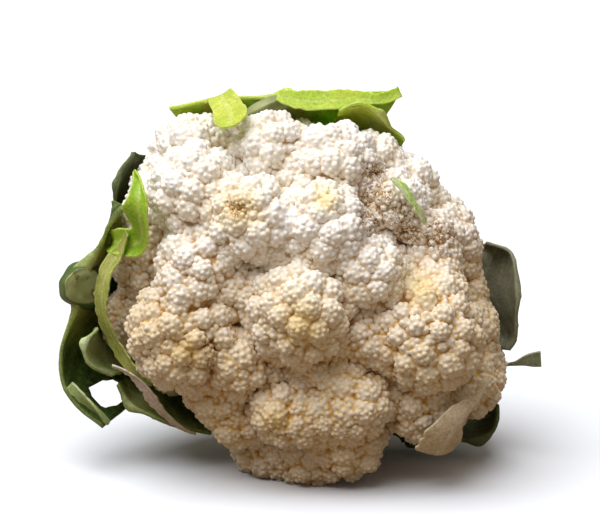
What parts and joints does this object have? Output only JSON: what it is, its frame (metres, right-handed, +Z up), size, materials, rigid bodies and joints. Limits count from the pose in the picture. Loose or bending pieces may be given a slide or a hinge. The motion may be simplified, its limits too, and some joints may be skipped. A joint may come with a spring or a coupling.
{
  "type": "cauliflower head",
  "caption": "Trimmed cauliflower head lying on its side: a dome of knobbly cream florets with cut green leaf butts wrapped round the back and a cut stalk.",
  "frame": {"origin": "centre of the bounding box, on the floor the head lies on", "axes": "+Z up, +X across the crown, and the crown faces -Y with its middle raised by 12 degrees; the cut stalk points to +Y"},
  "size_m": [0.205, 0.1517, 0.1579],
  "materials": {
    "curd": "matt, faintly moist, cream white with ochre in the creases",
    "stalk": "moist cut face, pale green to white",
    "leaf": "waxy satin green with pale ribs",
    "pale_leaf": "thin pale membrane, satin"
  },
  "bodies": {
    "root": {"bract_pale": "pale_leaf", "bract_torn": "leaf", "curd": "curd", "leaf_bottom": "leaf", "leaf_flap": "leaf", "leaf_left": "leaf", "leaf_lobe": "leaf", "leaf_low_left": "leaf", "leaf_low_right": "leaf", "leaf_lower_left": "leaf", "leaf_lower_right": "leaf", "leaf_right": "leaf", "leaf_top": "leaf", "leaf_top_right": "leaf", "leaf_upper_left": "leaf", "stalk": "stalk"}
  },
  "joints": []
}
